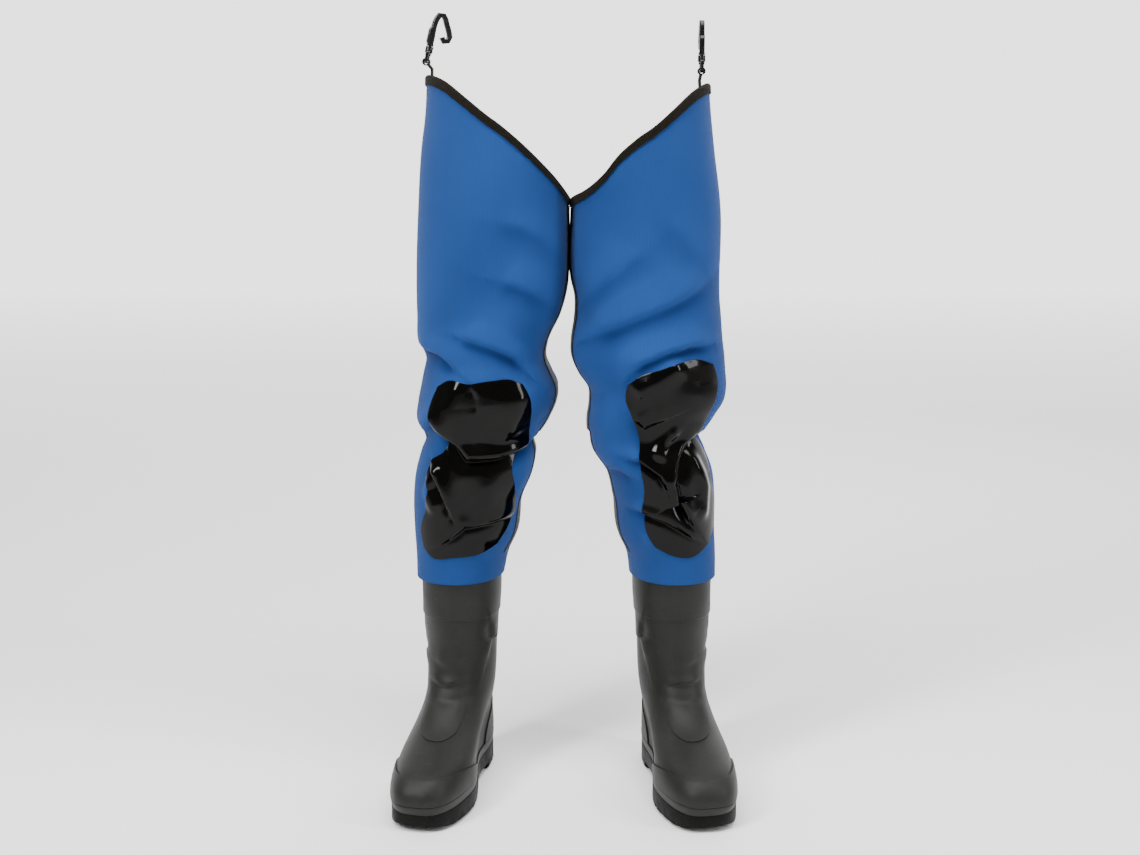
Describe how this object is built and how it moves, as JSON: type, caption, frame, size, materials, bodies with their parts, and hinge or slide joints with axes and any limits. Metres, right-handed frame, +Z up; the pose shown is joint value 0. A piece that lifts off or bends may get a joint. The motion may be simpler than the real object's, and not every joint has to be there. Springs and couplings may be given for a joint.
{
  "type": "hip waders",
  "caption": "Pair of hip waders: foam-rubber legs with slanted bound tops, glossy knee patches, rubber boots, and swivelling belt hooks on webbing tabs.",
  "frame": {"origin": "on the floor under the pair's outline: the middle of the bounding box's bottom face", "axes": "+Z up; the toes point along -Y; the wearer's left wader is on the +X side"},
  "size_m": [0.4541, 0.3185, 1.0315],
  "materials": {
    "neoprene": "knitted cloth bonded to closed-cell foam rubber, matte, mid blue",
    "seam_tape": "smooth black seam tape, satin",
    "binding": "black woven edge binding, matte",
    "patch_rubber": "glossy black coated patch with soft folds",
    "boot_rubber": "dark grey moulded rubber, satin to matte, slightly scuffed",
    "sole_rubber": "black moulded rubber with a cleated tread, matte",
    "insole_felt": "dark grey felt",
    "webbing": "black woven webbing, matte",
    "black_plastic": "black moulded plastic, semi-gloss"
  },
  "bodies": {
    "right_wader": {"right_leg": "neoprene", "right_inseam_tape": "seam_tape", "right_top_binding": "binding", "right_knee_patch": "patch_rubber", "right_seal_tape": "seam_tape", "right_boot_upper": "boot_rubber", "right_insole": "insole_felt", "right_outsole": "sole_rubber", "right_heel": "sole_rubber", "right_foxing": "boot_rubber", "right_toe_bumper": "boot_rubber", "right_heel_counter": "boot_rubber", "right_instep_patch": "boot_rubber", "right_shaft_cuff": "boot_rubber", "right_webbing_tab": "webbing"},
    "left_wader": {"left_leg": "neoprene", "left_inseam_tape": "seam_tape", "left_top_binding": "binding", "left_knee_patch": "patch_rubber", "left_seal_tape": "seam_tape", "left_boot_upper": "boot_rubber", "left_insole": "insole_felt", "left_outsole": "sole_rubber", "left_heel": "sole_rubber", "left_foxing": "boot_rubber", "left_toe_bumper": "boot_rubber", "left_heel_counter": "boot_rubber", "left_instep_patch": "boot_rubber", "left_shaft_cuff": "boot_rubber", "left_webbing_tab": "webbing"},
    "right_clip": {"right_clip_frame": "black_plastic"},
    "left_clip": {"left_clip_frame": "black_plastic"},
    "right_hook": {"right_belt_hook": "black_plastic"},
    "left_hook": {"left_belt_hook": "black_plastic"}
  },
  "joints": [
    {"name": "pair_slide", "type": "slide", "parent": "right_wader", "child": "left_wader", "axis": [1, 0, 0], "range_m": [0, 0.3]},
    {"name": "right_clip_hinge", "type": "hinge", "parent": "right_wader", "child": "right_clip", "pos_m": [-0.17825, 0.0604, 0.96946], "axis": [0, 1, 0], "range_deg": [-94, 86]},
    {"name": "right_hook_swivel", "type": "hinge", "parent": "right_clip", "child": "right_hook", "pos_m": [-0.17825, 0.0604, 0.96946], "axis": [0.2419, 0, 0.9703], "continuous": true},
    {"name": "left_clip_hinge", "type": "hinge", "parent": "left_wader", "child": "left_clip", "pos_m": [0.17789, 0.0604, 0.95774], "axis": [0, -1, 0], "range_deg": [-80, 100]},
    {"name": "left_hook_swivel", "type": "hinge", "parent": "left_clip", "child": "left_hook", "pos_m": [0.17789, 0.0604, 0.95774], "axis": [0, 0, 1], "continuous": true}
  ]
}
